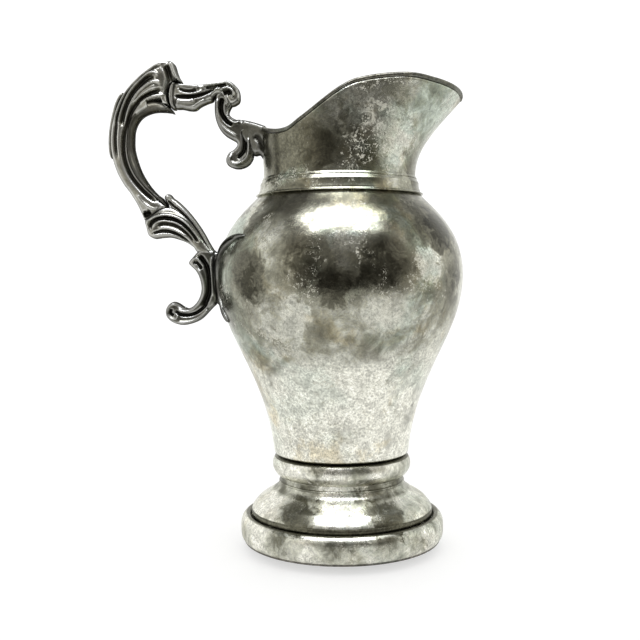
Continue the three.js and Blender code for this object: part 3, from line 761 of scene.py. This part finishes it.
def two_faced(name, points, heights, edge, quads, place):
    """Closes a sheet with its mirror image. place(points, heights, face) puts them in space."""
    count = len(points)
    other = np.where(edge, np.arange(count), count + np.arange(count))
    verts = np.vstack([place(points, heights, -1), place(points, heights, 1)])
    obj = new_mesh(name, verts, [*quads.tolist(), *other[quads][:, ::-1].tolist()])
    outward(obj)
    return obj


def domed(depth, edge, strokes):
    """Height of a casting: a steep rounded side, a gentle dome of width edge, then its strokes.

    depth is a number or a function of the points, and each stroke holds the arguments of stroke().
    """
    lifts = [stroke(*s) for s in strokes]

    def height(points, dist):
        side = np.sqrt(1 - (1 - np.clip(dist / SIDE_REACH, 0, 1)) ** 2)
        dome = np.sqrt(1 - (1 - np.clip(dist / edge, 0, 1)) ** 2)
        top = depth(points) if callable(depth) else depth
        base = top * (SIDE_SHARE * side + (1 - SIDE_SHARE) * dome)
        near = np.clip(dist / STROKE_REACH, 0, 1)
        for lift in lifts:
            base = base + near * lift(points)
        return base

    return height


def casting(name, node, outline, depth, edge, strokes=(), pitch=FINE_PITCH, material=HANDLE_SILVER):
    def place(points, heights, face):
        x, z = GRIP_X + points[:, 0] * MM, GRIP_Z + points[:, 1] * MM
        return np.stack([x, face * heights * MM, z], axis=1)

    obj = two_faced(name, *sheet(outline, domed(depth, edge, strokes), pitch), place)
    mark_hollows(obj, CASTING_DENT)
    shade_casting_sides(obj)
    keep(obj, "handle_silver", node, material=material)


def shade_casting_sides(obj):
    """Only the faces of a casting are polished: towards its edge the ridges lose their shine, and the sides
    are darkened towards the dirt colour as painted shade.
    """
    layer = obj.data.attributes["hollow"].data
    for vertex, value in zip(obj.data.vertices, layer):
        share = min(abs(vertex.co.y) / FACE_DEPTH, 1) ** 2
        value.value = value.value * share + max(value.value, SIDE_SHADE_HOLLOW) * (1 - share)


def make_grip():
    outline = [
        (19.1, 23.3), (17.7, 23.9), (15.9, 23.6), (13.5, 22.7), (11.1, 21.2), (8.4, 19), (6.2, 16.8),
        (4.5, 14.6), (3, 12), (1.8, 8.9), (1, 5.7), (0.6, 2), (0.7, -1.4), (1.3, -4.5), (2.4, -7.7),
        (4, -10.7), (5.7, -13), (7.2, -15.4), (8.2, -17.3), (9.1, -19.3), (9.9, -21), (11.4, -20),
        (13.3, -18.9), (15.1, -18), (16.6, -17.1), (14.9, -15.7), (11.8, -12.8), (9.5, -10),
        (7.7, -7.2), (6.4, -4), (5.9, -0.6), (5.9, 2.4), (6.2, 5), (7.3, 7), (9.4, 9),
        (12.7, 10.8), (15.7, 11.3), (17.6, 11.4), (17.4, 12.6), (17.2, 14.5), (17.5, 16.3), (18.7, 18),
        (21.2, 17.9), (20.3, 19.8), (19.6, 21.7),
    ]

    def depth(points):
        return np.interp(points[:, 1], [-20, -8, 2, 12, 20], [3.9, 3.9, 4.3, 4.7, 5.2])

    casting("grip_casting", "handle_grip", outline, depth, 3.6, [
        ([(18.4, 23.4), (18.9, 21.7), (19.7, 19.8), (20.7, 18.1)], 0.75, 1),
        ([(16.9, 22.5), (17.6, 20.4), (18, 18.4), (17.6, 16.3), (17, 14)], 0.7, -1.7),
        ([(18, 23.4), (15.9, 23), (13.5, 22), (11.2, 20.5), (8.8, 18.3), (6.7, 16.1), (5.1, 14),
          (3.8, 11.5), (2.6, 8.3), (1.9, 5.2)], 0.4, 0.7),
        ([(16.2, 22.3), (14.4, 21.9), (12.4, 21.2), (10.3, 19.5), (8, 17.3), (6, 14.8), (4.6, 12),
          (3.4, 8.8), (2.7, 5.7), (2.3, 2), (2.4, -1.4), (3, -4.6)], 0.42, -1),
        ([(15, 18.8), (14.5, 19.8), (13.5, 20.3), (12, 20), (10.3, 18.7), (8.1, 16.7), (6.2, 14.2),
          (4.8, 11.4), (3.8, 8.3), (3.2, 5.2)], 0.36, 0.75, 0.08),
        ([(14.4, 18.6), (12.9, 19), (11.4, 18.3), (9.3, 16.4), (7.3, 14), (5.8, 11.2),
          (4.8, 8.2), (4.2, 5)], 0.55, -1.3),
        ([(15.8, 16.9), (14.7, 17.6), (13.3, 17.6), (11.4, 16.6), (9.2, 14.8), (7.5, 12.5),
          (6.3, 9.9), (5.4, 7), (4.7, 3.9)], 0.36, 0.6, 0.08),
        ([(14.7, 16.5), (12.8, 16), (10.7, 14.6), (8.8, 12.7), (7.4, 10.6)], 0.55, 0.35),
        ([(16.1, 16.2), (14.4, 15.1), (12.3, 14.3), (10.1, 13), (8.3, 11.2), (6.9, 9.1), (5.8, 6.5),
          (4.9, 3.6), (4.5, 0.4), (4.6, -2.7), (5.4, -5.9), (6.8, -8.8), (8.9, -11.5), (11.2, -13.8),
          (13.9, -15.9)], 0.5, -1.5, 0.06),
        ([(16.8, 14.5), (15.5, 13.9), (13.3, 13.6), (11.2, 12.9), (9.2, 11.5)], 0.4, 0.5),
        ([(15.9, 12.4), (13.6, 12.2), (11.4, 11.6)], 0.7, -1.4),
        ([(9.4, -18.9), (10.6, -19.3), (12.2, -18.9)], 0.8, -2.6, 0.3),
        ([(7.9, -13.5), (10, -16.2), (12.6, -17.8), (14.6, -17.4)], 0.5, 0.5),
    ], PITCH)
    casting("grip_inner_crescent", "handle_inner_tongue", [
        (18.8, 9.4), (18.1, 10.6), (16.5, 11.9), (14.4, 12.7), (12.3, 12.9), (10.1, 12.2), (8.2, 10.9),
        (6.8, 8.9), (5.8, 6.5), (5.2, 3.6), (4.9, 0.4), (5.1, -2.7), (6, -5.9), (7.5, -9), (9.7, -11.7),
        (12.3, -14.1), (14.6, -16.1), (16.1, -17.1), (16.6, -16.6), (15.2, -14.7), (13.8, -13.6),
        (12.1, -11.8), (10.4, -9.4), (8.9, -6.6), (7.8, -3.4), (7.1, -0.2), (7.1, 2.9), (7.4, 5.1),
        (8.3, 7.1), (9.7, 8.6), (11.6, 9.5), (13.5, 9.9), (15.6, 9.9), (17.5, 9.7),
    ], 3.5, 1.3, [
        ([(18.4, 9.7), (16.7, 11.2), (14.4, 12.1), (12, 11.9), (9.8, 11), (8.2, 9.3), (6.9, 6.7),
          (6.2, 3.6), (6, 0.4), (6.2, -2.7), (7.1, -5.9), (8.8, -9), (10.8, -11.5), (13.1, -13.6),
          (15.2, -15.5)], 0.45, 0.5, 0.05),
    ], PITCH, CRESCENT_LIT_SILVER)
    casting("grip_back_rib", "handle_back_rib", [
        (4.1, 15.5), (3.2, 14.9), (2, 12.9), (1.1, 10.2), (0.4, 7.3), (-0.1, 4.2), (-0.3, 1), (-0.1, -1.8),
        (0.5, -3.2), (0.9, -1.6), (0.9, 1), (1.1, 4.2), (1.6, 7.3), (2.3, 10.2), (3.2, 12.8), (4.2, 14.6),
    ], 2, 0.7, pitch=PITCH)


def make_lower_handle():
    casting("lower_leaf_casting", "handle_lower_leaf", [
        (9.9, -21), (10.3, -23.1), (10.9, -25.2), (12.6, -26.2), (14.7, -26), (17.1, -25.9), (19.5, -26.5),
        (21.9, -27.5), (23.7, -28.8), (24.7, -30.2), (26.4, -30.9), (28.6, -31), (28.9, -29.4),
        (27.3, -27.2), (25.7, -24.5), (23.9, -22), (21.8, -19.8), (19.7, -18.2), (17.5, -17.2),
        (15.1, -17.4), (13, -18.7), (11.1, -20.1),
    ], 4.1, 2.6, [
        ([(11.1, -24.2), (10.7, -22.3), (11.5, -20.9), (13.5, -19.9), (15.9, -19.5), (18.6, -19.9),
          (21, -21.1), (23.1, -23), (24.9, -25.3), (26.5, -27.8)], 0.42, 0.8),
        ([(12.1, -24.2), (11.8, -22.6), (12.7, -21.3), (14.8, -20.5), (17.4, -20.6), (19.9, -21.5),
          (22, -23.1), (23.9, -25.3), (25.7, -27.8)], 0.36, -1.3),
        ([(12.9, -23.5), (12.9, -22.4), (14.3, -21.4), (16.5, -21.2), (19, -21.8), (21.1, -23),
          (23, -24.7), (24.6, -27)], 0.3, 0.5),
        ([(13.6, -22.8), (15.1, -22.1), (17.2, -22.2), (19.3, -22.8), (21.3, -24.1), (23, -25.7),
          (24.2, -27.5)], 0.28, -0.8),
        ([(13.8, -23.3), (15.9, -23.1), (18.2, -23.6), (20.5, -24.8), (22.5, -26.4)], 0.45, 0.5),
        ([(12.1, -24.8), (14.5, -24.2), (16.9, -24.2), (19.3, -25), (21.6, -26.4), (23.5, -28.3)],
         0.3, -1),
        ([(11.8, -25.5), (14.5, -25.1), (16.9, -25), (19.5, -25.7), (21.9, -27)], 0.4, 0.5),
    ])
    casting("lower_rib_casting", "handle_lower_rib", [
        (16.8, -13.4), (15.9, -13.8), (15.6, -14.7), (16.3, -16), (17.7, -17.6), (19.6, -19.2),
        (21.6, -21), (23.4, -23.2), (25.2, -25.9), (26.8, -28.6), (27.9, -30.6), (29.6, -31), (29.6, -29.8),
        (28.2, -27.3), (26.6, -24.3), (24.5, -21.1), (22.2, -18.2), (19.8, -15.8), (18.1, -14.5),
        (17.6, -13.8),
    ], 3.6, 1.5, [
        ([(16.6, -15.2), (18.1, -16.7), (20.2, -18.4), (22.3, -20.5), (24.5, -23.4), (26.4, -26.5),
          (28.2, -29.7)], 0.32, -1.2, 0.05),
        ([(16.7, -14.2), (17, -14.6)], 0.6, 0.7, 0),
    ])
    casting("lower_scroll_casting", "handle_lower_scroll", [
        (25.2, -29.6), (23.5, -31.4), (22.2, -33.1), (23, -34.3), (24.2, -35.5), (25.2, -37.5),
        (25.7, -40.1), (25.4, -42.3), (24.5, -44.2), (23.2, -45.6), (21.9, -46.2), (20.5, -45.7),
        (19.2, -44.8), (17.7, -44.3), (16.3, -45), (15.4, -46.6), (15.6, -48.5), (16.8, -49.9),
        (18.6, -50.8), (20.7, -51.1), (23.4, -50.5), (25.7, -49.4), (27.6, -47.6), (29, -46.1),
        (30.1, -45), (30.5, -43.3), (29.9, -40.6), (29.6, -37.4), (29.8, -33.7), (30, -30.1), (28.6, -29.2),
        (26.4, -29.2),
    ], 3.8, 1.9, [
        ([(25.1, -30.7), (26.4, -32.3), (27.7, -34.7), (28.2, -37.9), (28.2, -41.1), (27.4, -43.8),
          (26, -45.9)], 0.6, -1.6),
        ([(23.2, -32.3), (24.8, -31.9), (26.1, -33.1), (27.2, -34.3)], 0.4, 0.7),
        ([(23.7, -33.1), (25, -33.4), (26.3, -35)], 0.35, -0.8),
        ([(24.2, -34.2), (25.7, -36), (26.6, -38.5), (26.8, -41.1), (26.1, -43.5), (24.6, -45.4),
          (22.7, -46.6), (20.5, -46.9), (18.9, -46.2)], 0.4, 0.6),
        ([(27.8, -44.4), (25.9, -46.5), (23.5, -47.8), (21, -48.1), (19.4, -47.6), (18.5, -46.5)],
         0.36, -1.3),
        ([(19.7, -45.3), (17.9, -44.8), (16.3, -45.8), (15.9, -47.6), (16.9, -49), (18.5, -49.1),
          (19.2, -48), (18.5, -47.2)], 0.4, 0.6),
        ([(17.4, -46.2), (17.1, -47.4), (18, -48.2)], 0.35, -1.2),
        ([(18.6, -50.1), (21.3, -50.2), (24, -49.6), (26.4, -48.2), (28.3, -46.2)], 0.5, 0.8),
        ([(29.2, -31), (28.9, -35), (28.9, -39), (29.4, -43)], 0.45, 0.5),
    ], material=SCROLL_SHADED_SILVER)


def make_top_handle():
    casting("hood_bead", "handle_bead", [
        (18.6, 18), (17.7, 16.8), (17.3, 14.8), (17.4, 12.4), (18.1, 10.7), (19.2, 10.8), (19.1, 12.4),
        (19, 14.5), (19.2, 16.6), (19.5, 17.8),
    ], 3.9, 0.8)
    casting("top_bar_casting", "handle_top_bar", [
        (19, 17.8), (18.6, 16.3), (18.3, 14.5), (18.5, 12.4), (19.2, 10.8), (21, 10.7), (22.8, 10.3),
        (24.7, 10.3), (26.3, 11.4), (28.1, 12.2), (29.8, 12.8), (30.4, 13.7), (31.6, 14.4), (33, 13.7),
        (34.5, 11.7), (35.5, 11.4), (36.7, 11.9), (37.5, 12.7), (37.7, 14.3), (37.3, 15.9), (36.4, 17.1),
        (35.3, 18), (34, 18.5), (32.5, 18.1), (29.3, 17.8), (26.4, 17.4), (24, 17.5), (21.3, 17.7),
    ], 3.5, 1.9, [
        ([(19.2, 16.8), (21.3, 17.1), (24, 16.9), (26.3, 16.5)], 0.45, 0.5),
        ([(20, 16.3), (21.3, 14.9), (23.4, 14.5), (26.1, 14.9), (27.1, 15.7)], 0.35, 0.6),
        ([(20.3, 15.9), (21.6, 15.5), (23.7, 15.3), (25.5, 15.7)], 0.42, -0.9),
        ([(18.9, 14.1), (20.7, 13.8), (23.9, 13.7), (26.3, 14.1), (28.7, 15), (30.8, 16.2)], 0.4, -1.4),
        ([(19.4, 12.6), (21.2, 12.3), (23.4, 12.2), (25, 12.9)], 0.8, 0.6),
        ([(20.2, 11.1), (22.5, 10.9), (24.7, 11), (26.3, 12), (28.1, 12.9)], 0.35, 0.5),
        ([(27.1, 17), (29.8, 17.3), (32.4, 17.6), (34.3, 17.7), (35.7, 16.9), (36.8, 15.8),
          (37, 14.3)], 0.4, 0.7),
        ([(27.9, 16), (30.3, 16.4), (32.2, 16.7), (34, 16.9)], 0.35, -1),
        ([(32.1, 14.9), (32.8, 15.8), (34.3, 16.1), (35.6, 15.3), (35.8, 14.1), (35, 13.2)], 0.35, 0.7),
        ([(33, 14.6), (34.3, 14.9), (34.9, 14.1)], 0.45, -1.6),
    ])
    casting("neck_scroll_casting", "handle_neck_scroll", [
        (30.7, 14.4), (30.2, 11.5), (30.3, 8.6), (31, 6.1), (32.1, 4.2), (33.5, 2.8), (35, 1.9),
        (36.3, 1.1), (36.5, 0.2), (35.5, -1), (34.1, -1.9), (33.3, -3.5), (33.5, -4.9), (34.6, -5.9),
        (36.6, -6.5), (38.7, -6.1), (40.2, -5.1), (41.1, -3.7), (41.6, -2.3), (43.3, -1.7), (42.8, 1.2),
        (41.3, 4.3), (39.2, 6.7), (37.6, 7.3), (36.3, 7.6), (35.1, 8.3), (34.4, 9.2), (34.7, 10.4),
        (35.3, 11.7), (34.5, 13.7), (33, 15.2), (31.7, 15.3),
    ], 3, 1.8, [
        ([(31.3, 13.7), (31, 11.2), (31.2, 8.6), (32, 6.2), (33.6, 4.4), (35.4, 3.2), (37, 2.3)],
         0.4, 0.6),
        ([(32.7, 13.7), (32.3, 11.7), (32.3, 9.7), (33.1, 7.8), (34.4, 6.5), (35.7, 5.7)], 0.5, -1.5),
        ([(33.9, 8.6), (34.4, 7.3), (35.7, 6.4), (37.1, 6.6), (37.2, 7.2)], 0.4, 0.9),
        ([(39.7, 2.8), (40, -0.4), (39.6, -3), (38, -4.6), (36.1, -5.2), (34.7, -4.5), (34.6, -3.2),
          (35.6, -2.6)], 0.45, 0.6),
        ([(38.4, 4.4), (38.8, 1.2), (38.5, -1.4), (37.2, -3), (36.3, -3.5)], 0.5, -1.3),
        ([(33.4, 14.4), (34, 13), (33.9, 11.4)], 0.4, 0.5),
    ], material=SCROLL_SHADED_SILVER)


def make_mounts():
    def flare(points):
        return np.interp(points[:, 0], [35, 40, 43.5, 46], [2.2, 3.4, 5, 6.4])

    neck = (-NECK_R - GRIP_X) / MM + 1.0
    casting("neck_bracket", "handle_neck_bracket", [
        (36.2, 7.4), (39.2, 7.3), (41.8, 6.6), (44.2, 5.7), (neck, 4.9), (neck + 0.3, 0), (neck, -9.2),
        (44.6, -7.2), (44, -4.2), (43, -2.6), (41.4, -2.7), (40, -1), (38, 2), (36, 4.8),
    ], flare, 3, [
        ([(38, 6.6), (41.6, 5.6), (44.6, 4.4)], 0.6, 0.5),
        ([(41.6, 3), (43.6, 0.4), (44.6, -4), (44.9, -7.5)], 0.8, -1),
    ], PITCH, BRACKET_SHADED_SILVER)
    wall = (-BELLY_R - GRIP_X) / MM
    casting("body_web", "handle_body_web", [
        (28.6, -29.4), (30.2, -30), (wall + 1.2, -29.6), (wall + 1.6, -31.5), (wall + 1.2, -36.5),
        (wall + 1.4, -42), (wall + 2.6, -46.2), (30.6, -45.4), (29.4, -43), (28.8, -37), (28.8, -32.5),
    ], 2.6, 2, [
        ([(30.6, -31.5), (30.4, -36), (30.5, -40), (30.9, -44)], 0.6, -1.2),
    ], PITCH, BRACKET_SHADED_SILVER)


def make_saddle():
    """The forked plate on the belly: long horns above, short leaves below. Its points are (y, z)."""
    body = body_outline(0)
    sunk = 0.25  # mm into the belly
    half = [
        (0, 9.6), (3, 9.8), (7, 11), (12, 12.6), (16.5, 13.3), (20.2, 12.6), (16.8, 11.6), (12.5, 9.6),
        (8, 7.2), (4.6, 4.6), (3, 1.5), (2.8, -1.6), (3.5, -4.4), (5.4, -6.8), (7.6, -8.8),
        (9, -11.2), (6.6, -10.6), (3.8, -10), (2, -9.6),
    ]
    outline = half + [(-y, z) for y, z in half[:0:-1]]

    def place(points, heights, face):
        y, z = points[:, 0] * MM, Z_SADDLE + points[:, 1] * MM
        lift = heights if face < 0 else -sunk * (heights > 0)
        radius = np.interp(z, body[:, 1], body[:, 0]) + lift * MM
        return np.stack([-np.sqrt(np.maximum(radius**2 - y**2, 0)), y, z], axis=1)

    strokes = []
    for side in (-1, 1):
        horn = [(side * 2, 5.5), (side * 6, 8.4), (side * 12, 11.2), (side * 17.5, 12.5)]
        leaf = [(side * 1.2, -3.6), (side * 3.6, -7.2), (side * 7.2, -9.8)]
        strokes += [(horn, 0.5, -0.45), (leaf, 0.5, -0.4)]
    obj = two_faced("belly_saddle", *sheet(outline, domed(0.95, 1.5, strokes), PITCH), place)
    keep(obj, "handle_silver", "body_saddle", material=SADDLE_SHADED_SILVER, dent=SADDLE_DENT)


# ------------------------------ stage


def make_stage():
    """A pale floor that sweeps up into a wall on the spout's side."""
    half, half_width, below = 1.2, 1.92, 0.0001
    rows = [(-half, 0), (0.5, 0), (0.8, 0.03), (1.0, 0.13), (1.1, 0.3), (1.15, 0.6), (1.15, 1.4)]
    line = smooth(rows, 8)
    verts = [(x, y, z - below) for y, z in line for x in (-half_width, half_width)]
    faces = [(2 * i, 2 * i + 1, 2 * i + 3, 2 * i + 2) for i in range(len(line) - 1)]
    floor = new_mesh("floor", verts, faces)
    material, _, shader = new_material("pale_sweep")
    shader.inputs["Base Color"].default_value = (0.5, 0.5, 0.5, 1)
    shader.inputs["Emission Color"].default_value = (1.0, 1.0, 0.995, 1)
    shader.inputs["Emission Strength"].default_value = 0.56
    shader.inputs["Roughness"].default_value = 0.7
    shader.inputs["Specular IOR Level"].default_value = 0.2
    floor.data.materials.append(material)


def make_flag():
    """A curved dark card round the front, seen only in the metal: it gives the silver its dark side."""
    radius, bottom, top = 0.3, 0.001, 0.41
    dark, bright_left, bright_right, upper_glow = 0.16, 0.8, 0.85, 0.11
    rows = []
    for degrees in np.linspace(-56, 76, 60):
        a = math.radians(degrees)
        x, y = radius * math.sin(a), -radius * math.cos(a)
        rows.append([(x, y, bottom), (x, y, top)])
    card = grid_mesh("flag", rows, close_rows=False, close_columns=False)
    material, n, shader = new_material("dark_card")
    shader.inputs["Base Color"].default_value = (0, 0, 0, 1)
    shader.inputs["Roughness"].default_value = 1
    across, _, up = n.split(n.add("ShaderNodeTexCoord").outputs["Object"])
    left = n.ramp(across, -0.1, -0.24, dark, bright_left)
    right = n.ramp(across, 0.2, 0.29, dark, bright_right)
    glow = n.math("ADD", n.math("MAXIMUM", left, right), n.ramp(up, 0.12, 0.2, 0, upper_glow))
    n.link(glow, shader.inputs["Emission Strength"])
    shader.inputs["Emission Color"].default_value = (1.0, 0.96, 0.89, 1)
    card.data.materials.append(material)
    card.visible_camera = False
    card.visible_diffuse = False
    card.visible_shadow = False


def area_light(name, where, aim, size, power, colour=(1, 1, 1)):
    data = bpy.data.lights.new(name, "AREA")
    data.shape, data.size, data.size_y = "RECTANGLE", size[0], size[1]
    data.energy, data.color = power, colour
    lamp = bpy.data.objects.new(name, data)
    bpy.context.collection.objects.link(lamp)
    lamp.location = where
    lamp.rotation_euler = (Vector(aim) - Vector(where)).to_track_quat("-Z", "Y").to_euler()
    return lamp


def make_lights():
    """A softbox seen only in the metal, a fill that the metal does not see, and a white studio."""
    softbox = area_light("overhead_softbox", where=(0.008, -0.168, 0.62), aim=(0, -0.05, 0.09),
                         size=(0.54, 0.27), power=5.5, colour=(0.96, 0.98, 1.07))
    softbox.visible_diffuse = False
    fill = area_light("overhead_fill", where=(0, 0.1, 1.3), aim=(0, 0, 0), size=(1.6, 1.6), power=3.4)
    fill.visible_glossy = False
    world = bpy.data.worlds.new("studio")
    bpy.context.scene.world = world
    world.use_nodes = True
    tree = world.node_tree
    n = Nodes(tree)
    back = tree.nodes["Background"]
    up = n.split(n.add("ShaderNodeTexCoord").outputs["Generated"])[2]
    walls, roof, backdrop = (1.33, 1.33, 1.33), (0.5, 0.5, 0.5), (1.0, 1.0, 1.0)
    colour = n.mix(n.ramp(up, 0.45, 0.85), walls, roof)
    seen = n.add("ShaderNodeLightPath").outputs["Is Camera Ray"]
    n.link(n.mix(seen, colour, backdrop), back.inputs["Color"])
    back.inputs["Strength"].default_value = 1.0


def make_camera():
    data = bpy.data.cameras.new("camera")
    data.sensor_width = 36
    data.lens = 50.9
    data.clip_start = 0.01
    camera = bpy.data.objects.new("camera", data)
    bpy.context.collection.objects.link(camera)
    camera.location = (-0.0058, -0.262, 0.0776)
    pitch, roll = math.radians(3.1), math.radians(0.49)
    camera.rotation_euler = (math.pi / 2 - pitch, roll, 0)
    bpy.context.scene.camera = camera


make_camera()
make_stage()
make_flag()
make_lights()
make_base_plate()
make_foot_band()
make_foot_dome()
make_foot_collar()
make_waist_ring()
make_body()
make_neck_band()
make_neck()
make_grip()
make_lower_handle()
make_top_handle()
make_mounts()
make_saddle()

bpy.context.scene.view_settings.view_transform = "Standard"
